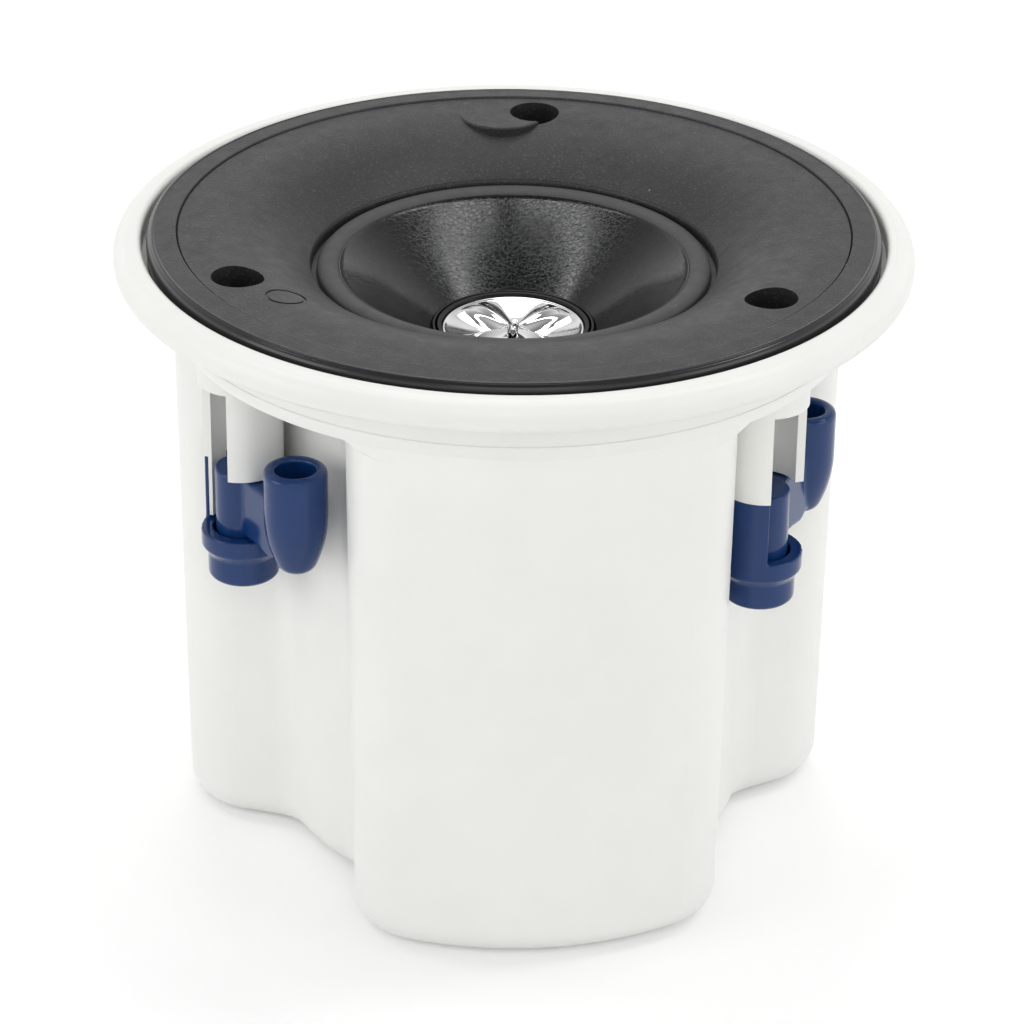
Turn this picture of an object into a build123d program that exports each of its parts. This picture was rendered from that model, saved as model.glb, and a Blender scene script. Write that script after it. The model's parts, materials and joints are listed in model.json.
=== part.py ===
# In-ceiling coaxial loudspeaker: fluted white back can, rolled bezel, black baffle,
# coaxial driver with a bright phase plug, and three blue swing-out clamps.
# Millimetres. The origin is on the axis at the can's base, +Z points out of the front.
# Depths are measured down from the crest of the bezel.

import math
import os

from build123d import *

# Overall
CREST_HEIGHT = 187.0
OPENING_RADIUS = 59.0
CLEARANCE = 0.3
RUNNING_CLEARANCE = 0.05

# Bezel ring
BEZEL_ROLL_WIDTH = 8.0
BEZEL_DEPTH = 9.0
BEZEL_OUTER_ROUND = 5.0
BEZEL_UNDER_ROUND = 3.0
BEZEL_INNER_ROUND = 1.5
SEAT_DEPTH = 6.0
FLANGE_WIDTH = 15.4
LEDGE_WIDTH = 33.0
SKIRT_WALL = 2.0
SKIRT_HEIGHT = 10.7

# Back can
CAN_WALL = 2.5
CAN_FLOOR = 3.0
CAN_DRAFT = 0.55
CAN_RADIUS_STEP = 1.0
CAN_BASE_ROUND = 10.0
COLLAR_THICKNESS = 4.5
COLLAR_WEB = 4.5
COLLAR_WEB_STEP = 0.5
SEAL_WIDTH = 2.3
SEAL_HEIGHT = 3.0
FLUTE_GAP = 14.0
FLUTE_FLOOR_ANGLE = 13.5
FLUTE_MOUTH_ANGLE = 25.2
FLUTE_MOUTH_ROUND = 23.0
FLUTE_FLOOR_ROUND = 12.0
FLUTE_LEAD_ANGLE = 10.8
CAN_SCREW_ANGLES = (16.0,)

# Clamp towers
TOWER_AZIMUTHS = (90.0, 210.0, 330.0)
TOWER_INSET = 13.8
TUBE_RADIUS = 12.1
TUBE_BORE_RADIUS = 9.6
SLOT_HALF_ANGLE = 48.5
SHELF_DROP = 2.8
SHELF_THICKNESS = 5.0
SLOT_HEADROOM = 2.8
SLOT_HEIGHT = 27.0
HEAD_BORE_RADIUS = 7.0
TONGUE_WALL = 1.1
TONGUE_ANGLE = 36.0
TONGUE_GAP = 1.0

# Clamp end caps
CAP_OPEN_HEIGHT = 19.7
CAP_BODY_HEIGHT = 15.5
CAP_FLOOR = 4.0
CAP_BAND = 5.0
CAP_TAPER = 2.5
CAP_BODY_STEP = 1.8
CAP_OPEN_ANGLE = 135.0

# Clamp dogs
DOG_STOWED_ANGLE = 98.0
DOG_LENGTH = 29.8
DOG_ARM_THICKNESS = 8.4
DOG_HUB_RADIUS = 7.8
HUB_GAP = 0.7
DOG_TOP_GAP = 0.5
DOG_RIM_GAP = 0.7
DOG_ARM_DROOP = 1.2
DOG_ARM_RISE = 3.0
DOG_EDGE_ROUND = 0.8
DOG_SLOPE_ROUND = 14.0
FOOT_RADIUS = 9.1
FOOT_RISE = 11.5
FOOT_DROOP = 1.0
FOOT_NOSE_LENGTH = 18.0
FOOT_TIP_RADIUS = 4.6
FOOT_TIP_ROUND = 4.2
FOOT_LIP_ROUND = 1.6
FOOT_HOLE_RADIUS = 5.65
FOOT_HOLE_DEPTH = 11.0

# Clamp screws and nuts
CLAMP_SCREW_RADIUS = 2.4
CLAMP_HEAD_RADIUS = 5.0
CLAMP_HEAD_HEIGHT = 3.4
CLAMP_SCREW_TIP = 2.4
RECESS_WIDTH = 1.2
RECESS_SPAN = 5.2
RECESS_DEPTH = 1.8
NUT_FLATS = 8.0
NUT_HEIGHT = 4.0

# Baffle
GRILLE_GAP = 1.6
BAFFLE_PROUD = 1.4
BAFFLE_RIM_WALL = 3.0
BAFFLE_EDGE_ROUND = 2.2
BAFFLE_PLATE = 3.4
GROOVE_INSET = 8.6
GROOVE_WIDTH = 0.9
GROOVE_DEPTH = 0.5
RIM_WIDTH = 8.8
SHOULDER_WIDTH = 29.0
SHOULDER_DROP = 11.0
LIP_THICKNESS = 3.4
DRIVER_SEAT_WIDTH = 13.0
ACCESS_RADIUS = 7.5
ACCESS_WALL = 1.6
MARK_RADIUS = 5.8
MARK_INSET = 8.0
MARK_AZIMUTH = 222.0
MARK_DEPTH = 0.3
PAD_RADIUS = 13.5
PAD_AZIMUTH = 96.7
PAD_EDGE_ROUND = 0.6
BAFFLE_SCREW_ANGLES = (-38.0, -82.0)
BAFFLE_SCREW_INSET = 8.0

# Small fixing screws and the bosses they go into
SCREW_RADIUS = 1.4
PILOT_RADIUS = 1.5
BOSS_RADIUS = 4.0
SCREW_HEAD_RADIUS = 2.9
SCREW_HEAD_HEIGHT = 2.0
SCREW_BITE = 3.4
CAN_SCREW_BITE = 8.0

# Woofer
GASKET_THICKNESS = 0.8
BASKET_FLANGE = 2.5
BASKET_FLANGE_WIDTH = 11.5
BASKET_LIP_WIDTH = 3.0
BASKET_WALL = 2.0
BASKET_NECK_RADIUS = 47.0
BASKET_CONE_DEPTH = 38.0
BASKET_WINDOWS = 6
BASKET_WINDOW_ANGLE = 40.0
DRIVER_SCREW_COUNT = 6
DRIVER_SCREW_OFFSET = 6.5
SURROUND_GAP = 0.4
SURROUND_RIM_WIDTH = 1.8
SURROUND_ROLL_WIDTH = 6.4
SURROUND_GLUE_WIDTH = 0.9
SURROUND_WALL = 0.8
CONE_GAP = 0.2
CONE_WALL = 1.0
CONE_BULGE = 1.4
NECK_DEPTH = 31.0
FORMER_RADIUS = 23.4
FORMER_WALL = 0.6
COIL_WALL = 0.9
COIL_LENGTH = 9.0
SPIDER_DEPTH = 41.0
SPIDER_WALL = 0.7
SPIDER_WAVE = 1.2
SPIDER_WAVES = 5
SPIDER_FLAT = 3.0

# Motor
MOTOR_DEPTH = 50.0
TOP_PLATE = 5.5
TOP_PLATE_RADIUS = 44.0
COIL_GAP = 0.7
MAGNET_HEIGHT = 16.0
MAGNET_RADIUS = 47.0
MAGNET_BORE_RADIUS = 28.0
YOKE_PLATE = 5.5
VENT_RADIUS = 4.5

# Tweeter and phase plug
POLE_GAP = 0.6
TWEETER_RADIUS = 20.2
TWEETER_HEIGHT = 8.0
DOME_RADIUS = 12.5
DOME_HEIGHT = 3.6
COLLAR_WALL = 1.1
PLUG_RADIUS = 20.9
PLUG_HEIGHT = 11.0
PLUG_SPIKE_RISE = 2.0
PLUG_DISH_DROP = 1.0
PLUG_WALL = 1.4
PETAL_COUNT = 4
SCOOP_RADIUS = 8.2
SCOOP_PLACE_RADIUS = 12.0
SCOOP_BITE = 4.4
PORT_WIDTH = 2.2
PORT_LENGTH = 10.0

# Crossover and input
BOARD_LENGTH = 84.0
BOARD_WIDTH = 58.0
BOARD_THICKNESS = 1.6
BOARD_POST_RADIUS = 3.5
BOARD_INSET = 5.0
BOARD_GAP = 6.0
INDUCTOR_RADIUS = 15.0
INDUCTOR_BORE_RADIUS = 6.0
INDUCTOR_HEIGHT = 16.0
INDUCTOR_FLANGE = 1.6
CAPACITOR_RADIUS = 7.5
CAPACITOR_LENGTH = 30.0
RESISTOR_SIZE = (26.0, 9.0, 9.0)
CUP_RADIUS = 23.0
CUP_WALL = 1.8
CUP_DEPTH = 17.0
CUP_FLANGE_RADIUS = 27.0
CUP_FLANGE = 2.0
CUP_RECESS = 2.2
CONNECTOR_SIZE = (22.0, 11.0, 10.0)
CONNECTOR_POLES = 4
CONNECTOR_HOLE_RADIUS = 1.7
CONNECTOR_HOLE_DEPTH = 6.0

# Radii worked out from the driver's opening outwards and inwards
SHOULDER_RADIUS = OPENING_RADIUS + SHOULDER_WIDTH
GROOVE_RADIUS = SHOULDER_RADIUS + RIM_WIDTH
BAFFLE_RADIUS = GROOVE_RADIUS + GROOVE_INSET
BEZEL_INNER_RADIUS = BAFFLE_RADIUS + GRILLE_GAP
BEZEL_RADIUS = BEZEL_INNER_RADIUS + BEZEL_ROLL_WIDTH
SKIRT_RADIUS = BEZEL_RADIUS - FLANGE_WIDTH
LEDGE_INNER_RADIUS = BEZEL_INNER_RADIUS - LEDGE_WIDTH
TOWER_RADIUS = SKIRT_RADIUS - TOWER_INSET
FLUTE_FLOOR_RADIUS = TOWER_RADIUS - FLUTE_GAP
CAN_SCREW_RADIUS = TOWER_RADIUS
MARK_PLACE_RADIUS = SHOULDER_RADIUS - MARK_INSET
PAD_PLACE_RADIUS = TOWER_RADIUS
BAFFLE_SCREW_RADIUS = LEDGE_INNER_RADIUS + BAFFLE_SCREW_INSET
DRIVER_SEAT_RADIUS = OPENING_RADIUS + DRIVER_SEAT_WIDTH
BASKET_FLANGE_RADIUS = OPENING_RADIUS + BASKET_FLANGE_WIDTH
BASKET_INNER_RADIUS = OPENING_RADIUS - BASKET_LIP_WIDTH
DRIVER_SCREW_RADIUS = OPENING_RADIUS + DRIVER_SCREW_OFFSET
SURROUND_OUTER_RADIUS = OPENING_RADIUS - SURROUND_GAP
SURROUND_ROLL_OUTER = SURROUND_OUTER_RADIUS - SURROUND_RIM_WIDTH
SURROUND_ROLL_INNER = SURROUND_ROLL_OUTER - SURROUND_ROLL_WIDTH
SURROUND_INNER_RADIUS = SURROUND_ROLL_INNER - SURROUND_GLUE_WIDTH
CONE_RADIUS = SURROUND_ROLL_INNER - CONE_GAP

# Depths and places worked out from the sizes above
SKIRT_DEPTH = BEZEL_DEPTH + SKIRT_HEIGHT
SHELF_DEPTH = SKIRT_DEPTH + SHELF_DROP
SLOT_TOP_DEPTH = SHELF_DEPTH + SHELF_THICKNESS + SLOT_HEADROOM
TUBE_END_DEPTH = SLOT_TOP_DEPTH + SLOT_HEIGHT
CAP_RIM_DEPTH = TUBE_END_DEPTH + CAP_OPEN_HEIGHT
CAP_BOTTOM_DEPTH = CAP_RIM_DEPTH + CAP_BODY_HEIGHT
TONGUE_END_DEPTH = CAP_RIM_DEPTH - TONGUE_GAP
FOOT_TOP_DEPTH = TUBE_END_DEPTH - FOOT_RISE
FOOT_BOTTOM_DEPTH = CAP_RIM_DEPTH + FOOT_DROOP
COLLAR_RADIUS = SKIRT_RADIUS - CAN_RADIUS_STEP
COLLAR_END_DEPTH = SKIRT_DEPTH + COLLAR_THICKNESS
CAN_RADIUS = COLLAR_RADIUS - COLLAR_THICKNESS * math.tan(math.radians(CAN_DRAFT))
LIP_DEPTH = SHOULDER_DROP - BAFFLE_PROUD
DRIVER_SEAT_DEPTH = LIP_DEPTH + LIP_THICKNESS
FLANGE_TOP_DEPTH = DRIVER_SEAT_DEPTH + GASKET_THICKNESS
FLANGE_END_DEPTH = FLANGE_TOP_DEPTH + BASKET_FLANGE
CONE_TOP_DEPTH = FLANGE_TOP_DEPTH
COIL_OUTER_RADIUS = FORMER_RADIUS + RUNNING_CLEARANCE + COIL_WALL
TOP_PLATE_BORE_RADIUS = COIL_OUTER_RADIUS + COIL_GAP
MAGNET_TOP_DEPTH = MOTOR_DEPTH + TOP_PLATE
TWEETER_TOP_DEPTH = MOTOR_DEPTH - TWEETER_HEIGHT
PLUG_RIM_DEPTH = TWEETER_TOP_DEPTH - PLUG_HEIGHT
PLUG_SPIKE_DEPTH = PLUG_RIM_DEPTH - PLUG_SPIKE_RISE
PLUG_DISH_DEPTH = PLUG_RIM_DEPTH + PLUG_DISH_DROP
YOKE_TOP_DEPTH = MAGNET_TOP_DEPTH + MAGNET_HEIGHT
YOKE_END_DEPTH = YOKE_TOP_DEPTH + YOKE_PLATE
POLE_RADIUS = FORMER_RADIUS - FORMER_WALL - POLE_GAP
CAP_INNER_RADIUS = TUBE_BORE_RADIUS + TONGUE_WALL + RUNNING_CLEARANCE
CAP_FLOOR_DEPTH = CAP_BOTTOM_DEPTH - CAP_FLOOR
DOG_TOP_DEPTH = TUBE_END_DEPTH + DOG_TOP_GAP
DOG_ARM_END_DEPTH = CAP_RIM_DEPTH - DOG_RIM_GAP
DOG_HUB_END_DEPTH = CAP_FLOOR_DEPTH - CLEARANCE
DOG_BORE_RADIUS = CLAMP_SCREW_RADIUS + RUNNING_CLEARANCE
BOARD_HEIGHT = CUP_DEPTH + BOARD_GAP


def z_at(depth):
    """Height above the can's base of a point at this depth below the bezel's crest."""
    return CREST_HEIGHT - depth


def section(*points):
    """Closed face in the XZ plane from points given as radius and depth."""
    return Plane.XZ * make_face(Polyline(*[(radius, z_at(depth)) for radius, depth in points], close=True))


def turned(*points):
    """Solid of revolution about the speaker's axis."""
    return revolve(section(*points), Axis.Z)


def cylinder(radius, top_depth, end_depth):
    """Upright cylinder between two depths."""
    return upright(Circle(radius), top_depth, end_depth)


def ring(inner_radius, outer_radius, top_depth, end_depth):
    """Upright ring between two depths."""
    return upright(Circle(outer_radius) - Circle(inner_radius), top_depth, end_depth)


def slice_outline(start_angle, end_angle):
    """Plan of a pie slice about a tower's axis that reaches past the tube."""
    rim = CenterArc((0, 0), 2 * TUBE_RADIUS, start_angle, end_angle - start_angle)
    return make_face([Line((0, 0), rim @ 0), rim, Line(rim @ 1, (0, 0))])


def upright(outline, top_depth, end_depth):
    """Outline drawn out between two depths."""
    return Pos(0, 0, z_at(end_depth)) * extrude(outline, amount=end_depth - top_depth)


def around(radius, angle):
    """Location on a circle about the axis, with local +X pointing outwards."""
    return Rot(0, 0, angle) * Pos(radius, 0, 0)


def pan_screw(head_depth, length, head_below):
    """Fixing screw whose head bears at a depth, with its shank pointing up or down."""
    if head_below:
        head = cylinder(SCREW_HEAD_RADIUS, head_depth, head_depth + SCREW_HEAD_HEIGHT)
        return head + cylinder(SCREW_RADIUS, head_depth - length, head_depth)
    head = cylinder(SCREW_HEAD_RADIUS, head_depth - SCREW_HEAD_HEIGHT, head_depth)
    return head + cylinder(SCREW_RADIUS, head_depth, head_depth + length)


def can_screw_places():
    """Where the can is screwed up into the bezel, inside the flutes."""
    return [around(CAN_SCREW_RADIUS, tower + angle) for tower in TOWER_AZIMUTHS for angle in CAN_SCREW_ANGLES]


def baffle_screw_places():
    """Where the baffle is screwed down from behind the bezel's ledge."""
    return [around(BAFFLE_SCREW_RADIUS, tower + angle)
            for tower in TOWER_AZIMUTHS for angle in BAFFLE_SCREW_ANGLES]


def driver_screw_places():
    """Where the driver is screwed to the back of the baffle."""
    step = 360.0 / DRIVER_SCREW_COUNT
    return [around(DRIVER_SCREW_RADIUS, step * index) for index in range(DRIVER_SCREW_COUNT)]


def bezel_ring():
    """Rolled rim with a ledge under the baffle and a skirt that takes the can's collar."""
    skirt_inner = SKIRT_RADIUS - SKIRT_WALL
    profile = section((LEDGE_INNER_RADIUS, SEAT_DEPTH), (BEZEL_INNER_RADIUS, SEAT_DEPTH),
                      (BEZEL_INNER_RADIUS, 0), (BEZEL_RADIUS, 0), (BEZEL_RADIUS, BEZEL_DEPTH),
                      (SKIRT_RADIUS, BEZEL_DEPTH), (SKIRT_RADIUS, SKIRT_DEPTH), (skirt_inner, SKIRT_DEPTH),
                      (skirt_inner, BEZEL_DEPTH), (LEDGE_INNER_RADIUS, BEZEL_DEPTH))
    rounds = ((BEZEL_RADIUS, 0, BEZEL_OUTER_ROUND), (BEZEL_RADIUS, BEZEL_DEPTH, BEZEL_UNDER_ROUND),
              (BEZEL_INNER_RADIUS, 0, BEZEL_INNER_ROUND))
    for radius, depth, size in rounds:
        corner = profile.vertices().sort_by_distance((radius, 0, z_at(depth)))[0]
        profile = fillet(corner, size)
    body = revolve(profile, Axis.Z)
    for place in can_screw_places():
        body += place * cylinder(BOSS_RADIUS, BEZEL_DEPTH, SKIRT_DEPTH)
        body -= place * cylinder(PILOT_RADIUS, SKIRT_DEPTH - CAN_SCREW_BITE - CLEARANCE, SKIRT_DEPTH)
    for place in baffle_screw_places():
        body -= place * cylinder(PILOT_RADIUS, SEAT_DEPTH, BEZEL_DEPTH)
    for azimuth in TOWER_AZIMUTHS:
        sleeve_hole = cylinder(ACCESS_RADIUS + ACCESS_WALL + CLEARANCE, SEAT_DEPTH, BEZEL_DEPTH)
        body -= around(TOWER_RADIUS, azimuth) * sleeve_hole
    return body


def flute_outline():
    """Plan of one flute, open at its mouth, centred on +X."""
    floor = math.radians(FLUTE_FLOOR_ANGLE)
    mouth = math.radians(FLUTE_MOUTH_ANGLE)
    inner = (FLUTE_FLOOR_RADIUS * math.cos(floor), FLUTE_FLOOR_RADIUS * math.sin(floor))
    outer = (CAN_RADIUS * math.cos(mouth), CAN_RADIUS * math.sin(mouth))
    far = tuple(2 * end - start for start, end in zip(inner, outer))
    wedge = make_face(Polyline(inner, far, (far[0], -far[1]), (inner[0], -inner[1]), close=True))
    return wedge - Circle(FLUTE_FLOOR_RADIUS)


def can_outline():
    """Plan of the can: a circle with rounded flutes beside the towers."""
    outline = Sketch() + Circle(CAN_RADIUS)
    for azimuth in TOWER_AZIMUTHS:
        outline -= Rot(0, 0, azimuth + FLUTE_LEAD_ANGLE) * flute_outline()
    middle = (FLUTE_FLOOR_RADIUS + CAN_RADIUS) / 2
    floor_corners = [v for v in outline.vertices() if math.hypot(v.X, v.Y) < middle]
    outline = fillet(floor_corners, FLUTE_FLOOR_ROUND)
    mouth_corners = [v for v in outline.vertices() if math.hypot(v.X, v.Y) > CAN_RADIUS - CLEARANCE]
    return fillet(mouth_corners, FLUTE_MOUTH_ROUND)


def clamp_tower():
    """Slotted tube for one clamp, with a screw shelf at its top and a stop tongue at its foot."""
    shelf_end = SHELF_DEPTH + SHELF_THICKNESS
    tube = Circle(TUBE_RADIUS) - Circle(TUBE_BORE_RADIUS)
    lining = Circle(TUBE_BORE_RADIUS + TONGUE_WALL) - Circle(TUBE_BORE_RADIUS)
    tongue_slice = slice_outline(-SLOT_HALF_ANGLE - TONGUE_ANGLE, -SLOT_HALF_ANGLE)
    body = cylinder(TUBE_RADIUS, SKIRT_DEPTH, shelf_end) + upright(tube, shelf_end, SLOT_TOP_DEPTH)
    slotted = tube - slice_outline(-SLOT_HALF_ANGLE, SLOT_HALF_ANGLE)
    body += upright(slotted, SLOT_TOP_DEPTH, TUBE_END_DEPTH)
    return body + upright(lining & tongue_slice, TUBE_END_DEPTH, TONGUE_END_DEPTH)


def tower_bore():
    """Room for the clamp screw in a tower's shelf: head bore and shank hole."""
    bore = cylinder(HEAD_BORE_RADIUS, SKIRT_DEPTH, SHELF_DEPTH)
    return bore + cylinder(CLAMP_SCREW_RADIUS + CLEARANCE, SHELF_DEPTH, SHELF_DEPTH + SHELF_THICKNESS)


def board_post_places():
    """Four posts under the crossover board's corners."""
    half_x = BOARD_LENGTH / 2 - BOARD_INSET
    half_y = BOARD_WIDTH / 2 - BOARD_INSET
    return [Pos(x, y, 0) for x in (-half_x, half_x) for y in (-half_y, half_y)]


def back_can():
    """Fluted can with its webbed collar and three clamp towers in one moulding."""
    outline = can_outline()
    top = Pos(0, 0, z_at(COLLAR_END_DEPTH))
    outer = top * extrude(outline, amount=-z_at(COLLAR_END_DEPTH), taper=CAN_DRAFT)
    outer = fillet(outer.faces().sort_by(Axis.Z)[0].edges(), CAN_BASE_ROUND)
    inner = offset(outline, -CAN_WALL)
    cavity = top * extrude(inner, amount=CAN_FLOOR - z_at(COLLAR_END_DEPTH), taper=CAN_DRAFT)
    cavity = fillet(cavity.faces().sort_by(Axis.Z)[0].edges(), CAN_BASE_ROUND - CAN_WALL)
    collar = turned((0, SKIRT_DEPTH), (COLLAR_RADIUS, SKIRT_DEPTH), (CAN_RADIUS, COLLAR_END_DEPTH),
                    (0, COLLAR_END_DEPTH))
    web = top * extrude(offset(outline, COLLAR_WEB), amount=-COLLAR_WEB - COLLAR_WEB_STEP, taper=45)
    web &= cylinder(CAN_RADIUS - COLLAR_WEB_STEP, COLLAR_END_DEPTH, COLLAR_END_DEPTH + 2 * COLLAR_WEB)
    body = outer + web - cavity + (collar - top * extrude(inner, amount=COLLAR_THICKNESS))
    for place in can_screw_places():
        body -= place * cylinder(PILOT_RADIUS, SKIRT_DEPTH, COLLAR_END_DEPTH)
    for azimuth in TOWER_AZIMUTHS:
        place = around(TOWER_RADIUS, azimuth)
        body = body + place * clamp_tower() - place * tower_bore()
    floor_boss = extrude(Circle(CUP_FLANGE_RADIUS + CAN_WALL), amount=CAN_FLOOR + CUP_RECESS)
    body += floor_boss
    body -= extrude(Circle(CUP_FLANGE_RADIUS + CLEARANCE), amount=CUP_RECESS)
    body -= extrude(Circle(CUP_RADIUS + CLEARANCE), amount=CUP_DEPTH)
    post_height = BOARD_HEIGHT - CAN_FLOOR
    for place in board_post_places():
        post = extrude(Circle(BOARD_POST_RADIUS) - Circle(PILOT_RADIUS), amount=post_height)
        body += place * Pos(0, 0, CAN_FLOOR) * post
    return body


def can_gasket():
    """Foam ring that seals the corner between the can's collar and the bezel's skirt."""
    skirt_inner = SKIRT_RADIUS - SKIRT_WALL
    return ring(skirt_inner - SEAL_WIDTH, skirt_inner, SKIRT_DEPTH - SEAL_HEIGHT, SKIRT_DEPTH)


def front_baffle():
    """Moulded baffle: bead edge, groove, curved shoulder down to the driver, three access holes."""
    top = -BAFFLE_PROUD
    plate_under = top + BAFFLE_PLATE
    shoulder = TangentArc((SHOULDER_RADIUS, z_at(top)), (OPENING_RADIUS, z_at(LIP_DEPTH)), tangent=(-1, 0))
    rest = ((OPENING_RADIUS, LIP_DEPTH), (OPENING_RADIUS, DRIVER_SEAT_DEPTH),
            (DRIVER_SEAT_RADIUS, DRIVER_SEAT_DEPTH), (DRIVER_SEAT_RADIUS, plate_under + BAFFLE_PLATE),
            (SHOULDER_RADIUS, plate_under), (BAFFLE_RADIUS - BAFFLE_RIM_WALL, plate_under),
            (BAFFLE_RADIUS - BAFFLE_RIM_WALL, SEAT_DEPTH), (BAFFLE_RADIUS, SEAT_DEPTH),
            (BAFFLE_RADIUS, top), (SHOULDER_RADIUS, top))
    outline = Polyline(*[(radius, z_at(depth)) for radius, depth in rest])
    profile = Plane.XZ * make_face([shoulder, outline])
    edge = profile.vertices().sort_by_distance((BAFFLE_RADIUS, 0, z_at(top)))[0]
    blank = revolve(fillet(edge, BAFFLE_EDGE_ROUND), Axis.Z)
    mark = ring(MARK_RADIUS - GROOVE_WIDTH, MARK_RADIUS, top, DRIVER_SEAT_DEPTH)
    body = blank - (around(MARK_PLACE_RADIUS, MARK_AZIMUTH) * mark - Pos(0, 0, -MARK_DEPTH) * blank)
    body -= turned((GROOVE_RADIUS - GROOVE_WIDTH / 2, top), (GROOVE_RADIUS + GROOVE_WIDTH / 2, top),
                   (GROOVE_RADIUS, top + GROOVE_DEPTH))
    body += front_pad()
    for place in baffle_screw_places():
        body += place * cylinder(BOSS_RADIUS, plate_under, SEAT_DEPTH)
        body -= place * cylinder(PILOT_RADIUS, SEAT_DEPTH - SCREW_BITE - CLEARANCE, SEAT_DEPTH)
    for place in driver_screw_places():
        body -= place * cylinder(PILOT_RADIUS, DRIVER_SEAT_DEPTH - SCREW_BITE - CLEARANCE, DRIVER_SEAT_DEPTH)
    for azimuth in TOWER_AZIMUTHS:
        place = around(TOWER_RADIUS, azimuth)
        body += place * cylinder(ACCESS_RADIUS + ACCESS_WALL, plate_under, SEAT_DEPTH)
        body -= place * cylinder(ACCESS_RADIUS, top, SEAT_DEPTH)
    return body


def front_pad():
    """Flat round pad beside the first access hole, level with the rim and proud of the shoulder."""
    disc = cylinder(PAD_RADIUS, -BAFFLE_PROUD, BAFFLE_PLATE - BAFFLE_PROUD)
    disc = fillet(disc.edges().filter_by(GeomType.CIRCLE).sort_by(Axis.Z)[-1], PAD_EDGE_ROUND)
    disc = around(PAD_PLACE_RADIUS, PAD_AZIMUTH) * disc
    return disc & cylinder((SHOULDER_RADIUS + GROOVE_RADIUS) / 2, -BAFFLE_PROUD, BAFFLE_PLATE)


def screw_way_seals():
    """Rubber tubes that close the screwdriver ways off from the can, from the baffle down to the towers."""
    tube = ring(ACCESS_RADIUS, ACCESS_RADIUS + ACCESS_WALL, SEAT_DEPTH, SKIRT_DEPTH)
    return Part() + [around(TOWER_RADIUS, azimuth) * tube for azimuth in TOWER_AZIMUTHS]


def driver_gasket():
    """Foam ring between the basket's flange and the baffle."""
    body = ring(OPENING_RADIUS + CLEARANCE, BASKET_FLANGE_RADIUS, DRIVER_SEAT_DEPTH, FLANGE_TOP_DEPTH)
    for place in driver_screw_places():
        body -= place * cylinder(PILOT_RADIUS, DRIVER_SEAT_DEPTH, FLANGE_TOP_DEPTH)
    return body


def driver_basket():
    """Pressed basket: flange, windowed cone, spider seat and a base ring on the motor."""
    neck_inner = BASKET_NECK_RADIUS - BASKET_WALL
    seat_inner = neck_inner - BASKET_WALL
    spider_seat = SPIDER_DEPTH + SPIDER_WALL
    body = turned((BASKET_INNER_RADIUS, FLANGE_TOP_DEPTH), (BASKET_FLANGE_RADIUS, FLANGE_TOP_DEPTH),
                  (BASKET_FLANGE_RADIUS, FLANGE_END_DEPTH),
                  (BASKET_INNER_RADIUS + BASKET_WALL, FLANGE_END_DEPTH),
                  (BASKET_NECK_RADIUS, BASKET_CONE_DEPTH), (BASKET_NECK_RADIUS, MOTOR_DEPTH),
                  (MAGNET_BORE_RADIUS, MOTOR_DEPTH), (MAGNET_BORE_RADIUS, MOTOR_DEPTH - BASKET_WALL),
                  (seat_inner, MOTOR_DEPTH - BASKET_WALL), (seat_inner, spider_seat),
                  (neck_inner, spider_seat), (neck_inner, BASKET_CONE_DEPTH),
                  (BASKET_INNER_RADIUS, FLANGE_END_DEPTH))
    window_top = FLANGE_END_DEPTH + BASKET_WALL
    window_inner = BASKET_NECK_RADIUS - 2 * BASKET_WALL
    window = section((window_inner, window_top), (BASKET_FLANGE_RADIUS, window_top),
                     (BASKET_FLANGE_RADIUS, BASKET_CONE_DEPTH), (window_inner, BASKET_CONE_DEPTH))
    step = 360.0 / BASKET_WINDOWS
    for index in range(BASKET_WINDOWS):
        start = step * index - BASKET_WINDOW_ANGLE / 2
        body -= Rot(0, 0, start) * revolve(window, Axis.Z, BASKET_WINDOW_ANGLE)
    for place in driver_screw_places():
        body -= place * cylinder(PILOT_RADIUS, FLANGE_TOP_DEPTH, FLANGE_END_DEPTH)
    return body


def surround():
    """Rubber half roll between the basket's flange and the cone's edge."""
    base = FLANGE_TOP_DEPTH
    seat = base - SURROUND_WALL
    centre = (SURROUND_ROLL_OUTER + SURROUND_ROLL_INNER) / 2
    roll = (SURROUND_ROLL_OUTER - SURROUND_ROLL_INNER) / 2
    flat = ((SURROUND_INNER_RADIUS, seat), (SURROUND_OUTER_RADIUS, seat),
            (SURROUND_OUTER_RADIUS, base), (SURROUND_INNER_RADIUS, base))
    flange = make_face(Polyline(*[(radius, z_at(depth)) for radius, depth in flat], close=True))
    upper = Pos(centre, z_at(seat)) * Circle(roll)
    hollow = Pos(centre, z_at(seat)) * Circle(roll - SURROUND_WALL)
    below = Pos(centre, z_at(base) - roll) * Rectangle(2 * roll, 2 * roll)
    profile = flange + upper - hollow - below
    return revolve(Plane.XZ * profile, Axis.Z)


def cone():
    """Gently curved paper cone from the surround down to the voice coil."""
    neck = FORMER_RADIUS + RUNNING_CLEARANCE
    middle = (CONE_RADIUS + neck) / 2
    middle_depth = (CONE_TOP_DEPTH + NECK_DEPTH) / 2 - CONE_BULGE

    def curve(extra):
        stations = ((CONE_RADIUS, CONE_TOP_DEPTH), (middle, middle_depth), (neck, NECK_DEPTH))
        return ThreePointArc(*[(radius, z_at(depth + extra)) for radius, depth in stations])

    front = curve(0)
    back = curve(CONE_WALL)
    profile = make_face([front, Line(front @ 1, back @ 1), back, Line(back @ 0, front @ 0)])
    return revolve(Plane.XZ * profile, Axis.Z)


def voice_coil_former():
    """Thin tube that carries the winding and joins the cone's neck."""
    end = MOTOR_DEPTH + (TOP_PLATE + COIL_LENGTH) / 2
    return ring(FORMER_RADIUS - FORMER_WALL, FORMER_RADIUS, NECK_DEPTH - CONE_WALL, end)


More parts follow.
